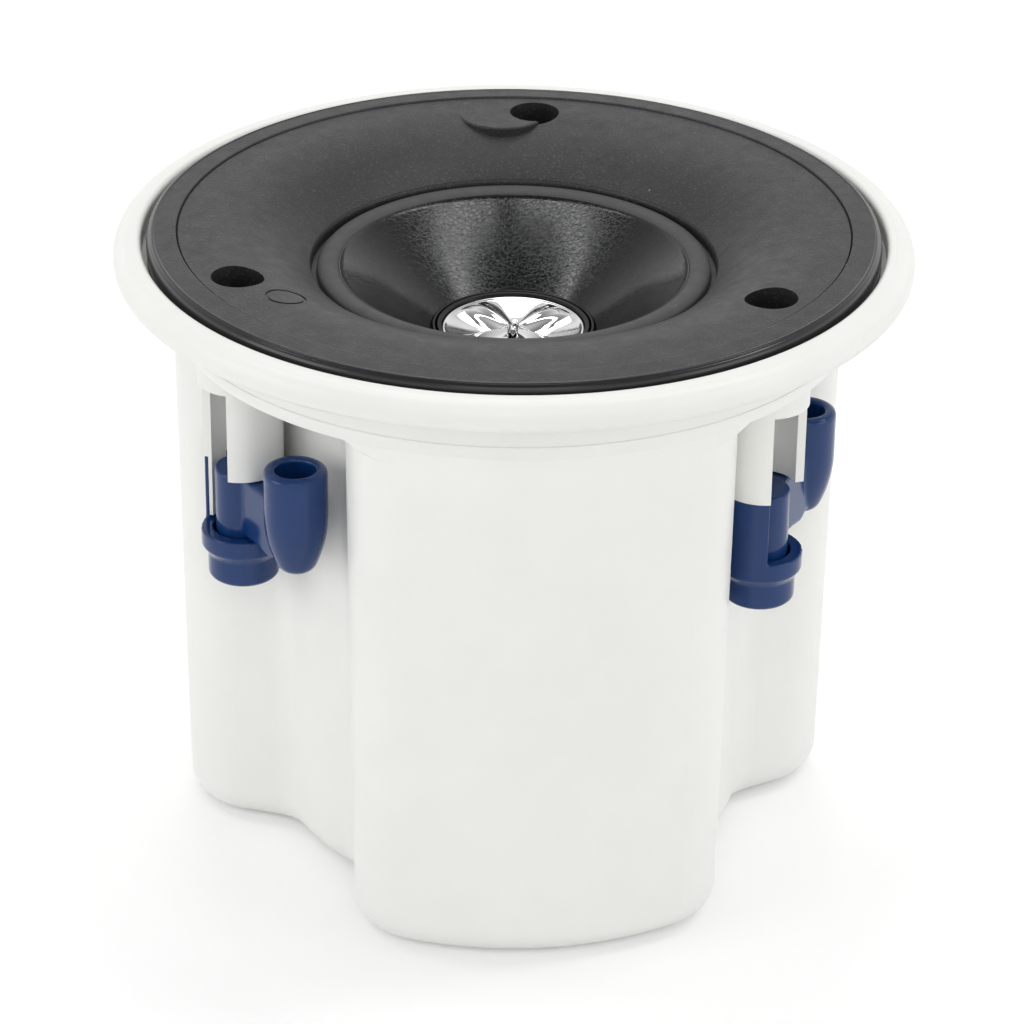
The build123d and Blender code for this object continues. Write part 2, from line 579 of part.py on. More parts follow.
def voice_coil():
    """Copper winding in the motor's gap."""
    middle = MOTOR_DEPTH + TOP_PLATE / 2
    return ring(FORMER_RADIUS + RUNNING_CLEARANCE, COIL_OUTER_RADIUS, middle - COIL_LENGTH / 2,
                middle + COIL_LENGTH / 2)


def spider():
    """Corrugated disc that centres the voice coil."""
    inner = FORMER_RADIUS + RUNNING_CLEARANCE
    outer = BASKET_NECK_RADIUS - BASKET_WALL - CLEARANCE
    bends = 2 * SPIDER_WAVES
    pitch = (outer - SPIDER_FLAT - inner) / bends
    wave = [(inner + pitch * index, SPIDER_DEPTH - SPIDER_WAVE * (index % 2)) for index in range(bends + 1)]
    upper = wave + [(outer, SPIDER_DEPTH)]
    lower = [(radius, depth + SPIDER_WALL) for radius, depth in reversed(upper)]
    return turned(*upper, *lower)


def top_plate():
    """Steel washer round the gap."""
    return ring(TOP_PLATE_BORE_RADIUS, TOP_PLATE_RADIUS, MOTOR_DEPTH, MAGNET_TOP_DEPTH)


def ferrite_magnet():
    """Ring magnet under the top plate."""
    return ring(MAGNET_BORE_RADIUS, MAGNET_RADIUS, MAGNET_TOP_DEPTH, YOKE_TOP_DEPTH)


def pole_yoke():
    """Back plate with the vented pole that fills the voice coil."""
    plate = cylinder(TOP_PLATE_RADIUS, YOKE_TOP_DEPTH, YOKE_END_DEPTH)
    pole = cylinder(POLE_RADIUS, MOTOR_DEPTH, YOKE_TOP_DEPTH)
    return plate + pole - cylinder(VENT_RADIUS, MOTOR_DEPTH, YOKE_END_DEPTH)


def tweeter_body():
    """Closed magnet cup of the tweeter, seated on the pole."""
    cup = cylinder(TWEETER_RADIUS, TWEETER_TOP_DEPTH, MOTOR_DEPTH)
    return cup + cylinder(VENT_RADIUS - CLEARANCE, MOTOR_DEPTH, MAGNET_TOP_DEPTH)


def tweeter_dome():
    """Soft dome under the phase plug."""
    sphere_radius = (DOME_RADIUS ** 2 + DOME_HEIGHT ** 2) / (2 * DOME_HEIGHT)
    ball = Pos(0, 0, z_at(TWEETER_TOP_DEPTH) + DOME_HEIGHT - sphere_radius) * Sphere(sphere_radius)
    return ball & cylinder(DOME_RADIUS, TWEETER_TOP_DEPTH - DOME_HEIGHT, TWEETER_TOP_DEPTH)


def tweeter_collar():
    """Black ring that holds the phase plug to the tweeter."""
    inner = PLUG_RADIUS + RUNNING_CLEARANCE
    body = ring(inner, inner + COLLAR_WALL, PLUG_RIM_DEPTH - COLLAR_WALL, MOTOR_DEPTH - CLEARANCE)
    return body + ring(TWEETER_RADIUS + RUNNING_CLEARANCE, inner, TWEETER_TOP_DEPTH, MOTOR_DEPTH - CLEARANCE)


def phase_plug():
    """Bright plug: raised rim, centre spike and petals between scoops, with a slot in each scoop."""
    dish_radius = PLUG_RADIUS / 3
    dome_room = TWEETER_TOP_DEPTH - DOME_HEIGHT - CLEARANCE
    body = turned((0, PLUG_SPIKE_DEPTH), (dish_radius, PLUG_DISH_DEPTH),
                  (PLUG_RADIUS - PLUG_WALL, PLUG_RIM_DEPTH), (PLUG_RADIUS, PLUG_RIM_DEPTH),
                  (PLUG_RADIUS, TWEETER_TOP_DEPTH),
                  (DOME_RADIUS + CLEARANCE, TWEETER_TOP_DEPTH), (DOME_RADIUS + CLEARANCE, dome_room),
                  (0, dome_room))
    step = 360.0 / PETAL_COUNT
    centre_depth = PLUG_DISH_DEPTH - SCOOP_RADIUS + SCOOP_BITE - PLUG_WALL
    for index in range(PETAL_COUNT):
        place = around(SCOOP_PLACE_RADIUS, 90 + step * index)
        body -= place * Pos(0, 0, z_at(centre_depth)) * Sphere(SCOOP_RADIUS)
        slot = SlotOverall(PORT_LENGTH, PORT_WIDTH)
        body -= place * Pos(-PORT_LENGTH / 2, 0, 0) * upright(slot, PLUG_RIM_DEPTH, TWEETER_TOP_DEPTH)
    return body


def clamp_end_cap():
    """Blue cup on a tower's foot, tall behind the dog and cut low where the dog swings."""
    band_end = CAP_RIM_DEPTH + CAP_BAND
    body_radius = TUBE_RADIUS - CAP_BODY_STEP
    shell = turned((0, TUBE_END_DEPTH), (TUBE_RADIUS, TUBE_END_DEPTH), (TUBE_RADIUS, band_end),
                   (body_radius, band_end + CAP_TAPER), (body_radius, CAP_BOTTOM_DEPTH),
                   (0, CAP_BOTTOM_DEPTH))
    shell = fillet(shell.edges().filter_by(GeomType.CIRCLE).sort_by(Axis.Z)[0], CAP_BODY_STEP)
    shell -= cylinder(CAP_INNER_RADIUS, TUBE_END_DEPTH, CAP_RIM_DEPTH)
    shell -= cylinder(DOG_HUB_RADIUS + HUB_GAP, CAP_RIM_DEPTH, CAP_FLOOR_DEPTH)
    tip_depth = CAP_FLOOR_DEPTH + CLAMP_SCREW_TIP + CLEARANCE
    shell -= cylinder(DOG_BORE_RADIUS, CAP_FLOOR_DEPTH, tip_depth)
    opening = slice_outline(-SLOT_HALF_ANGLE, CAP_OPEN_ANGLE)
    return shell - upright(opening, TUBE_END_DEPTH, CAP_RIM_DEPTH)


def clamp_foot():
    """Bullet-shaped foot of a dog, with the blind hole in its clamping face."""
    nose_top = FOOT_BOTTOM_DEPTH - FOOT_NOSE_LENGTH
    hole_end = FOOT_TOP_DEPTH + FOOT_HOLE_DEPTH
    tip = (FOOT_TIP_RADIUS, z_at(FOOT_BOTTOM_DEPTH))
    nose = TangentArc((FOOT_RADIUS, z_at(nose_top)), tip, tangent=(0, -1))
    corners = ((0, FOOT_BOTTOM_DEPTH), (0, hole_end), (FOOT_HOLE_RADIUS, hole_end),
               (FOOT_HOLE_RADIUS, FOOT_TOP_DEPTH), (FOOT_RADIUS, FOOT_TOP_DEPTH))
    rest = Polyline(nose @ 1, *[(radius, z_at(depth)) for radius, depth in corners], nose @ 0)
    profile = Plane.XZ * make_face([nose, rest])
    rounds = ((FOOT_RADIUS, FOOT_TOP_DEPTH, FOOT_LIP_ROUND),
              (FOOT_HOLE_RADIUS, FOOT_TOP_DEPTH, DOG_EDGE_ROUND),
              (FOOT_TIP_RADIUS, FOOT_BOTTOM_DEPTH, FOOT_TIP_ROUND))
    for radius, depth, size in rounds:
        corner = profile.vertices().sort_by_distance((radius, 0, z_at(depth)))[0]
        profile = fillet(corner, size)
    return revolve(profile, Axis.Z)


def clamp_dog():
    """Blue dog: hub on the screw, flat arm and bullet foot, drawn with the arm along +X."""
    bend = TUBE_RADIUS + CAP_BODY_STEP
    arm = section((0, DOG_TOP_DEPTH), (DOG_LENGTH, DOG_TOP_DEPTH),
                  (DOG_LENGTH, DOG_ARM_END_DEPTH - DOG_ARM_RISE),
                  (DOG_LENGTH - FOOT_RADIUS, DOG_ARM_END_DEPTH + DOG_ARM_DROOP), (bend, DOG_ARM_END_DEPTH),
                  (0, DOG_ARM_END_DEPTH))
    slope = arm.vertices().sort_by_distance((bend, 0, z_at(DOG_ARM_END_DEPTH)))[0]
    arm = extrude(fillet(slope, DOG_SLOPE_ROUND), amount=DOG_ARM_THICKNESS / 2, both=True)
    long_edges = [edge for edge in arm.edges() if abs(edge.center().Y) > DOG_ARM_THICKNESS / 2 - CLEARANCE
                  and 0 < edge.center().X < DOG_LENGTH]
    arm = fillet(long_edges, DOG_EDGE_ROUND)
    hub = cylinder(DOG_HUB_RADIUS, DOG_TOP_DEPTH, DOG_HUB_END_DEPTH)
    body = hub + arm + Pos(DOG_LENGTH, 0, 0) * clamp_foot()
    body -= cylinder(DOG_BORE_RADIUS, DOG_TOP_DEPTH, DOG_HUB_END_DEPTH)
    return body - nut_prism(RUNNING_CLEARANCE)


def nut_prism(extra):
    """Hexagonal prism at the lower end of the hub, for the nut or its pocket."""
    outline = RegularPolygon(NUT_FLATS / 2 + extra, 6, major_radius=False)
    return Pos(0, 0, z_at(DOG_HUB_END_DEPTH)) * extrude(outline, amount=NUT_HEIGHT)


def clamp_nut():
    """Steel nut held in the dog's hub."""
    return nut_prism(0) - cylinder(DOG_BORE_RADIUS, DOG_TOP_DEPTH, DOG_HUB_END_DEPTH)


def clamp_screw():
    """Long screw from the shelf behind the baffle down to the end cap, with a cross recess."""
    head_top = SHELF_DEPTH - CLAMP_HEAD_HEIGHT
    body = cylinder(CLAMP_HEAD_RADIUS, head_top, SHELF_DEPTH)
    body += cylinder(CLAMP_SCREW_RADIUS, SHELF_DEPTH, CAP_FLOOR_DEPTH + CLAMP_SCREW_TIP)
    cross = Rectangle(RECESS_SPAN, RECESS_WIDTH) + Rectangle(RECESS_WIDTH, RECESS_SPAN)
    return body - Pos(0, 0, z_at(head_top)) * extrude(cross, amount=-RECESS_DEPTH)


def terminal_cup():
    """Recessed cup in the can's base for the wiring terminals."""
    cup = extrude(Circle(CUP_FLANGE_RADIUS), amount=CUP_FLANGE)
    cup += extrude(Circle(CUP_RADIUS), amount=CUP_DEPTH)
    cup -= extrude(Circle(CUP_RADIUS - CUP_WALL), amount=CUP_DEPTH - CUP_WALL)
    return Pos(0, 0, CUP_RECESS - CUP_FLANGE) * cup


def input_connector():
    """Four-pole connector block on the floor of the cup."""
    length, width, height = CONNECTOR_SIZE
    top = CUP_DEPTH - CUP_WALL + CUP_RECESS - CUP_FLANGE
    body = Pos(0, 0, top - height / 2) * Box(length, width, height)
    pitch = length / CONNECTOR_POLES
    for index in range(CONNECTOR_POLES):
        x = pitch * (index - (CONNECTOR_POLES - 1) / 2)
        body -= Pos(x, 0, top - height) * extrude(Circle(CONNECTOR_HOLE_RADIUS), amount=CONNECTOR_HOLE_DEPTH)
    return body


def crossover_board():
    """Circuit board on the four posts."""
    body = Pos(0, 0, BOARD_HEIGHT) * extrude(Rectangle(BOARD_LENGTH, BOARD_WIDTH), amount=BOARD_THICKNESS)
    for place in board_post_places():
        body -= place * Pos(0, 0, BOARD_HEIGHT) * extrude(Circle(PILOT_RADIUS), amount=BOARD_THICKNESS)
    return body


def board_screws():
    """Screws that hold the board down on its posts."""
    top_depth = CREST_HEIGHT - BOARD_HEIGHT - BOARD_THICKNESS
    return Part() + [place * pan_screw(top_depth, SCREW_BITE + BOARD_THICKNESS, False)
                     for place in board_post_places()]


def on_board(x, y):
    """Location on the top of the crossover board."""
    return Pos(x, y, BOARD_HEIGHT + BOARD_THICKNESS)


def crossover_inductor():
    """Air-core coil on a flanged bobbin."""
    body = extrude(Circle(INDUCTOR_RADIUS) - Circle(INDUCTOR_BORE_RADIUS), amount=INDUCTOR_HEIGHT)
    waist = Circle(INDUCTOR_RADIUS) - Circle(INDUCTOR_RADIUS - INDUCTOR_FLANGE)
    waist = extrude(waist, amount=INDUCTOR_HEIGHT - 2 * INDUCTOR_FLANGE)
    return on_board(-BOARD_LENGTH / 4, 0) * (body - Pos(0, 0, INDUCTOR_FLANGE) * waist)


def crossover_capacitors():
    """Two film capacitors lying on the board."""
    can = Pos(0, 0, CAPACITOR_RADIUS) * Rot(0, 90, 0) * Cylinder(CAPACITOR_RADIUS, CAPACITOR_LENGTH)
    spacing = CAPACITOR_RADIUS + BOARD_INSET / 2
    return Part() + [on_board(BOARD_LENGTH / 5, y) * can for y in (0, -2 * spacing)]


def crossover_resistor():
    """Wire-wound resistor lying on the board."""
    length, width, height = RESISTOR_SIZE
    place = on_board(BOARD_LENGTH / 5, BOARD_WIDTH / 2 - BOARD_INSET - width)
    return place * Pos(0, 0, height / 2) * Box(length, width, height)


def can_screws():
    """Screws that hold the can's collar up to the bezel."""
    length = COLLAR_THICKNESS + CAN_SCREW_BITE
    return Part() + [place * pan_screw(COLLAR_END_DEPTH, length, True) for place in can_screw_places()]


def baffle_screws():
    """Screws that hold the baffle down on the bezel's ledge."""
    length = BEZEL_DEPTH - SEAT_DEPTH + SCREW_BITE
    return Part() + [place * pan_screw(BEZEL_DEPTH, length, True) for place in baffle_screw_places()]


def driver_screws():
    """Screws that hold the basket to the back of the baffle."""
    length = FLANGE_END_DEPTH - DRIVER_SEAT_DEPTH + SCREW_BITE
    return Part() + [place * pan_screw(FLANGE_END_DEPTH, length, True) for place in driver_screw_places()]


def build():
    """Every sub-part, by the name of its node."""
    makers = (bezel_ring, back_can, can_gasket, front_baffle, screw_way_seals, driver_gasket, driver_basket,
              surround, cone, voice_coil_former, voice_coil, spider, top_plate, ferrite_magnet, pole_yoke,
              tweeter_body, tweeter_dome, tweeter_collar, phase_plug, terminal_cup, input_connector,
              crossover_board, board_screws, crossover_inductor, crossover_capacitors, crossover_resistor,
              can_screws, baffle_screws, driver_screws)
    nodes = {maker.__name__: maker() for maker in makers}
    fixed = {"clamp_end_cap": clamp_end_cap(), "clamp_screw": clamp_screw()}
    swung = {"clamp_dog": clamp_dog(), "clamp_nut": clamp_nut()}
    for number, azimuth in enumerate(TOWER_AZIMUTHS, start=1):
        place = around(TOWER_RADIUS, azimuth)
        for name, shape in fixed.items():
            nodes[f"{name}_{number}"] = place * shape
        for name, shape in swung.items():
            nodes[f"{name}_{number}"] = place * Rot(0, 0, DOG_STOWED_ANGLE) * shape
    return nodes


os.makedirs("parts", exist_ok=True)
for node_name, node_shape in build().items():
    export_step(node_shape, f"parts/{node_name}.step")
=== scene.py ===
"""Looks of the in-ceiling speaker: fine meshes, materials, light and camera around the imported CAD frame."""

import json
import math

import bpy
from mathutils import Matrix, Vector
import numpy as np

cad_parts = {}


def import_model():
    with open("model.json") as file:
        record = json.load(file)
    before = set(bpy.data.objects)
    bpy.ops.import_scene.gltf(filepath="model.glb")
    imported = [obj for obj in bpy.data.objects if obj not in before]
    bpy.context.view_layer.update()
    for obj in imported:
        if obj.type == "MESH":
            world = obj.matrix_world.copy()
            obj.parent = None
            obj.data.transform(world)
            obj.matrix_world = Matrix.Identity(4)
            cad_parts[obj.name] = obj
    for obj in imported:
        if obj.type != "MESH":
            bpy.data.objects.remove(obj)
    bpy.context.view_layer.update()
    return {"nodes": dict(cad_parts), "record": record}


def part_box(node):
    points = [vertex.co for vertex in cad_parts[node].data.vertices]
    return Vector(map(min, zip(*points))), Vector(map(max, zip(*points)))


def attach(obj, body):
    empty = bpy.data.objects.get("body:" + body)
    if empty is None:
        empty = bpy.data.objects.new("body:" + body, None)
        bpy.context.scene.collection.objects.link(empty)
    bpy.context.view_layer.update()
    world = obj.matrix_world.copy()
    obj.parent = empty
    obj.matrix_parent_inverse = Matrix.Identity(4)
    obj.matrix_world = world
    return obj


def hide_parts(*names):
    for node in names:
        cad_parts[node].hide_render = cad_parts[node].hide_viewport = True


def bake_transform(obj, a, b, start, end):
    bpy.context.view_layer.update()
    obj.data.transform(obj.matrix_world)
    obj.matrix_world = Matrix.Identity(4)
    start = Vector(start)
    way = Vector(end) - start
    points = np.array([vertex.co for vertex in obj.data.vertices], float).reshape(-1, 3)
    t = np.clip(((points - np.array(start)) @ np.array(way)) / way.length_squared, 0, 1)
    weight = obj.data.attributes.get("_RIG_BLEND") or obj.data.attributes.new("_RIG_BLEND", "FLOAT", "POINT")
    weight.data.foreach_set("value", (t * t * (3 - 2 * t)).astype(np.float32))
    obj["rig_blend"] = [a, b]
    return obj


# Camera, worked out from the photo's ellipses; the image is 1024 pixels square
FOCAL_LENGTH_MM = 140.6
SENSOR_WIDTH_MM = 36.0
CAMERA_PLACE = (0.0701, -1.0508, 0.6521)
CAMERA_AZIMUTH_DEG = 3.8
CAMERA_PITCH_DEG = 27.874
CAMERA_ROLL_DEG = 0.7

# Sky: strengths near the horizon and overhead, and the heights between which it changes
SKY_HORIZON = 1.26
SKY_ZENITH = 0.15
SKY_LOW = 0.1
SKY_HIGH = 0.95

# Floor: its tone as light that bounces off it sees it, its tone to the eye, and a faint glow to the eye
FLOOR_RADIUS = 40.0
FLOOR_TONE = 0.88
FLOOR_TONE_SEEN = 1.0
FLOOR_GLOW = 0.1

# Lamps: place, width, length and power; all of them face one point
LAMP_AIM = (0, 0, 0.15)
LAMPS = {
    "left_softbox": ((-0.62, 0.1, 1.8), 0.19, 1.3, 5.0),
    "right_softbox": ((0.76, 0.2, 1.75), 0.29, 1.3, 6.8),
    "front_fill": ((0.2, -2.1, 1.9), 1.6, 1.2, 6.6),
    "back_softbox": ((-0.15, 0.98, 1.77), 0.7, 1.15, 5.4),
    "left_fill": ((-2.0, -0.9, 0.9), 1.2, 1.2, 8.0),
    "right_fill": ((2.0, -0.7, 0.9), 1.2, 1.2, 5.2),
}

# Dark smudges on the baffle: middle and radius of each, how dark they are, and the cells of their ragged edge
SMUDGES = (((0.0245, 0.0605, 0.183), 0.009), ((0.056, 0.0485, 0.1865), 0.007))
SMUDGE_DEPTH = 0.7
SMUDGE_CELLS = 420.0
SMUDGE_RANGE = (0.35, 0.6)

# Plastic: cells to the metre of its tone, its gloss and its dust, and which cells hold a speck of what size
TONE_CELLS = 60.0
GLOSS_CELLS = 220.0
GLOSS_SPREAD = 0.12
STIPPLE_RANGE = (0.56, 0.78)
DUST_CELLS = 190.0
DUST_SHARE = 0.06
DUST_SIZE = 0.06
DUST_GRAY = (0.2, 0.2, 0.2)

# Plastics, rubber and cloth: colour, roughness, cells of grain to the metre, depth of grain, what is special
PLASTICS = {
    "white_plastic": ((0.83, 0.83, 0.8), 0.36, 2500.0, 0.000008, {"variation": 0.012}),
    "baffle_plastic": ((0.0145, 0.0145, 0.016), 0.46, 1500.0, 0.00011,
                       {"variation": 0.04, "speck": DUST_GRAY, "stipple": 0.05, "smudges": SMUDGES}),
    "baffle_edge": ((0.0125, 0.0125, 0.014), 0.2, 1500.0, 0.00001, {}),
    "blue_plastic": ((0.005, 0.032, 0.132), 0.12, 900.0, 0.000001, {"gleam": 0.38}),
    "black_plastic": ((0.006, 0.006, 0.006), 0.35, 1500.0, 0.00001, {"gleam": 0.3}),
    "surround_rubber": ((0.055, 0.055, 0.056), 0.6, 1800.0, 0.000008,
                        {"variation": 0.04, "speck": DUST_GRAY}),
    "black_steel": ((0.025, 0.025, 0.025), 0.4, 900.0, 0.00001, {}),
    "ferrite": ((0.06, 0.06, 0.065), 0.6, 1200.0, 0.00003, {}),
    "foam": ((0.03, 0.03, 0.03), 0.9, 1200.0, 0.0001, {}),
    "spider_cloth": ((0.5, 0.34, 0.14), 0.8, 1500.0, 0.00008, {}),
    "dome_cloth": ((0.04, 0.04, 0.04), 0.6, 2500.0, 0.00003, {}),
    "former_film": ((0.008, 0.008, 0.008), 0.4, 800.0, 0.00001, {"gleam": 0.3}),
    "connector_plastic": ((0.03, 0.03, 0.03), 0.45, 1500.0, 0.00002, {}),
    "circuit_board": ((0.04, 0.2, 0.07), 0.4, 900.0, 0.00001, {}),
    "film_capacitor": ((0.55, 0.42, 0.05), 0.35, 900.0, 0.00001, {}),
    "ceramic_resistor": ((0.75, 0.73, 0.68), 0.6, 1200.0, 0.00002, {}),
}

# Metals: colour and roughness, and the cells and depth of their faint unevenness
METALS = {
    "chrome_plug": ((0.93, 0.93, 0.94), 0.09),
    "zinc_steel": ((0.62, 0.63, 0.65), 0.3),
    "copper_coil": ((0.72, 0.36, 0.18), 0.35),
}
METAL_GLOSS_CELLS = 300.0
METAL_WAVE_CELLS = 150.0
METAL_WAVE_DEPTH = 0.000006

# Cone paper: colours of the sheet and its creases, roughness, and the creases' cells, width, wave and depth
CONE_COLOR = (0.0028, 0.0028, 0.0032)
CREASE_COLOR = (0.011, 0.011, 0.012)
CONE_ROUGHNESS = 0.15
CONE_VARIATION = 0.15
CONE_TONE_CELLS = 90.0
CONE_GLOSS_CELLS = 130.0
CREASE_CELLS = 720.0
CREASE_WIDTH = 0.14
CREASE_WAVE_CELLS = 700.0
CREASE_WAVE = 0.003
CREASE_DEPTH = 0.000015
FELT_CELLS = 900.0
FELT_SHARE = 0.6

# Turned trim, in millimetres: (radius, height) points, and arcs: middle, radius, first and last angle, steps
RIM_TOP = [(96.9, 188.0), (96.92, 188.72), (97.05, 188.84), (97.3, 188.85), (102.95, 188.42)]
RIM_BEAD_ARC = ((103.6, 187.85), 0.72, 127, 22, 10)
RIM_CORNER_ARC = ((103.2, 186.2), 2.24, 50, 0, 10)
RIM_UNDER = [(105.44, 183.0), (104.0, 183.0), (102.0, 187.5)]
OPENING_LIP = [(59.7, 178.0), (59.3, 177.65), (58.9, 177.2), (58.65, 176.6), (58.5, 175.9), (58.45, 175.2),
               (58.45, 174.2), (59.4, 174.2), (60.0, 177.5)]
BEZEL_FOOT = [(106.96, 182.0)]
BEZEL_ARC = ((108.5, 185.5), 1.54, 180, 90, 14)
BEZEL_UNDER = [(109.2, 187.03), (109.8, 186.9), (109.0, 185.0), (107.6, 182.0)]
CAN_RIM = [(98.2, 167.28), (99.75, 167.28), (99.95, 167.15), (100.0, 166.9), (99.97, 166.0), (98.6, 162.9),
           (98.2, 162.9)]

# Cone face, in millimetres: its slope's foot, control point, top and steps, the edge's arc and the underside
CONE_SLOPE = ((24.0, 156.62), (36.0, 166.5), (50.1, 176.05), 24)
CONE_EDGE_ARC = ((50.35, 175.85), 0.35, 130, 0, 6)
CONE_UNDER = [(50.3, 173.3), (50.2, 172.9), (36.5, 165.3), (24.0, 156.0)]

# The baffle's edge is smooth and glossy from this radius out, in metres
EDGE_GLOSS = 0.1031

# Turned pieces: steps round the axis, and the angle past which an edge stays sharp
LATHE_STEPS = 360
TURNED_CREASE_DEG = 50

# Surround, in metres from the axis
ROLL_OUTER = 0.0568
ROLL_INNER = 0.0504
ROLL_RISE = 0.0018
ROLL_STEPS = 18
GLUE_WIDTH = 0.0009
SKIN = 0.0008

# Round edges of the clamps: mesh size, rounds of smoothing and share of the faces that is kept
EDGE_VOXEL = 0.0004
EDGE_ROUNDS = {"clamp_dog": 16, "clamp_end_cap": 7}
EDGE_FACES = 0.3

# Phase plug: four curled petals with a smooth fan between each two, and a shallow slot at the foot of each
# fan, its floor painted black as painted shade of a deep port
PETALS = 4
PLUG_RIM = 0.0014
PLUG_RIM_DROP = 0.002
RIM_BEAD = 0.0003
FAN_DEPTH = 0.0026
PETAL_RISE = 0.0016
PETAL_SWELL = 1.3
PETAL_FOOT = 0.0022
PETAL_HALF_WIDTH = 0.0098
PETAL_RIB = 0.00014
PETAL_RIBS = 2.5
SLOT_HALF_WIDTH = 0.0014
SLOT_TAPER = 0.6
SLOT_EDGE = (0.7, 1.1)
SLOT_END = 0.001
SLOT_INNER = 0.0008
SLOT_OUTER = 0.0088
SLOT_DROP = 0.004
PLUG_RINGS = 84
PLUG_SPOKES = 320
PLUG_CREASE_DEG = 60


def smooth(obj, angle_deg=35.0):
    """Smooth shading with sharp creases past an angle."""
    obj.data.shade_smooth()
    obj.data.set_sharp_from_angle(angle=math.radians(angle_deg))


def ease(value, low, high):
    """0 below low, 1 above high, and a smooth rise between them."""
    t = min(1.0, max(0.0, (value - low) / (high - low)))
    return t * t * (3 - 2 * t)


def new_object(name, points, faces, materials):
    """Mesh object from points and faces."""
    mesh = bpy.data.meshes.new(name)
    mesh.from_pydata(points, [], faces)
    for material in materials:
        mesh.materials.append(material)
    obj = bpy.data.objects.new(name, mesh)
    bpy.context.scene.collection.objects.link(obj)
    return obj


def shader(name, color, roughness, metallic=0.0):
    """A new material and its node tree, with one principled shader."""
    material = bpy.data.materials.new(name)
    material.use_nodes = True
    tree = material.node_tree
    base = tree.nodes["Principled BSDF"]
    base.inputs["Base Color"].default_value = (*color, 1.0)
    base.inputs["Roughness"].default_value = roughness
    base.inputs["Metallic"].default_value = metallic
    return material, tree, base


def place(tree):
    """The object's own coordinates, in metres."""
    return tree.nodes.new("ShaderNodeTexCoord").outputs["Object"]


def noise(tree, scale, detail=3.0, roughness=0.5):
    """Noise with a number of cells to the metre."""
    node = tree.nodes.new("ShaderNodeTexNoise")
    node.inputs["Scale"].default_value = scale
    node.inputs["Detail"].default_value = detail
    node.inputs["Roughness"].default_value = roughness
    tree.links.new(place(tree), node.inputs["Vector"])
    return node.outputs["Fac"]


def remap(tree, source, low, high, from_low=0.3, from_high=0.7):
    """Source stretched from one range of values to another."""
    node = tree.nodes.new("ShaderNodeMapRange")
    node.inputs["From Min"].default_value = from_low
    node.inputs["From Max"].default_value = from_high
    node.inputs["To Min"].default_value = low
    node.inputs["To Max"].default_value = high
    tree.links.new(source, node.inputs["Value"])
    return node.outputs["Result"]


def math_node(tree, operation, first, second):
    """Two values, or a value and a number, put together."""
    node = tree.nodes.new("ShaderNodeMath")
    node.operation = operation
    for socket, value in zip(node.inputs, (first, second)):
        if isinstance(value, (int, float)):
            socket.default_value = value
        else:
            tree.links.new(value, socket)
    return node.outputs["Value"]


def mix_color(tree, factor, first, second):
    """Colour that runs between two tones, each a colour or another mix."""
    node = tree.nodes.new("ShaderNodeMix")
    node.data_type = "RGBA"
    for name, value in (("A", first), ("B", second)):
        if isinstance(value, tuple):
            node.inputs[name].default_value = (*value, 1.0)
        else:
            tree.links.new(value, node.inputs[name])
    tree.links.new(factor, node.inputs["Factor"])
    return node.outputs["Result"]


def bump(tree, base, source, depth):
    """Surface relief of a depth in metres."""
    node = tree.nodes.new("ShaderNodeBump")
    node.inputs["Distance"].default_value = depth
    tree.links.new(source, node.inputs["Height"])
    tree.links.new(node.outputs["Normal"], base.inputs["Normal"])


def dust(tree, scale, share, size):
    """1 on small round specks that lie in a share of the cells."""
    cells = tree.nodes.new("ShaderNodeTexVoronoi")
    cells.inputs["Scale"].default_value = scale
    tree.links.new(place(tree), cells.inputs["Vector"])
    split = tree.nodes.new("ShaderNodeSeparateColor")
    tree.links.new(cells.outputs["Color"], split.inputs["Color"])
    chosen = math_node(tree, "LESS_THAN", split.outputs["Red"], share)
    near = math_node(tree, "LESS_THAN", cells.outputs["Distance"], size)
    return math_node(tree, "MULTIPLY", chosen, near)


def smudge(tree, middle, radius):
    """A ragged mark round a point that fades out at a radius."""
    node = tree.nodes.new("ShaderNodeVectorMath")
    node.operation = "DISTANCE"
    node.inputs[1].default_value = middle
    tree.links.new(place(tree), node.inputs[0])
    near = remap(tree, node.outputs["Value"], SMUDGE_DEPTH, 0.0, 0.0, radius)
    ragged = remap(tree, noise(tree, SMUDGE_CELLS), 0.0, 1.0, *SMUDGE_RANGE)
    return math_node(tree, "MULTIPLY", near, ragged)


def tones(color, variation):
    """A darker and a lighter tone of a colour."""
    dark = tuple(channel * (1 - variation) for channel in color)
    light = tuple(min(1.0, channel * (1 + variation)) for channel in color)
    return dark, light


def plastic(name, color, roughness, grain_scale, grain_depth, variation=0.06, speck=None, gleam=0.5,
            stipple=0.0, smudges=()):
    """Moulded plastic with a fine grain, slightly uneven tone and gloss, and a few specks of dust."""
    material, tree, base = shader(name, color, roughness)
    base.inputs["Specular IOR Level"].default_value = gleam
    tone = mix_color(tree, remap(tree, noise(tree, TONE_CELLS), 0.0, 1.0), *tones(color, variation))
    if stipple:
        light = tuple(channel + stipple for channel in color)
        dots = remap(tree, noise(tree, grain_scale, 2.0), 0.0, 1.0, *STIPPLE_RANGE)
        tone = mix_color(tree, dots, tone, light)
    for middle, radius in smudges:
        tone = mix_color(tree, smudge(tree, middle, radius), tone, (0.0, 0.0, 0.0))
    if speck:
        tone = mix_color(tree, dust(tree, DUST_CELLS, DUST_SHARE, DUST_SIZE), tone, speck)
    tree.links.new(tone, base.inputs["Base Color"])
    dull = min(1.0, roughness * (1 + GLOSS_SPREAD))
    gloss = remap(tree, noise(tree, GLOSS_CELLS), roughness * (1 - GLOSS_SPREAD), dull)
    tree.links.new(gloss, base.inputs["Roughness"])
    bump(tree, base, noise(tree, grain_scale, 2.0), grain_depth)
    return material


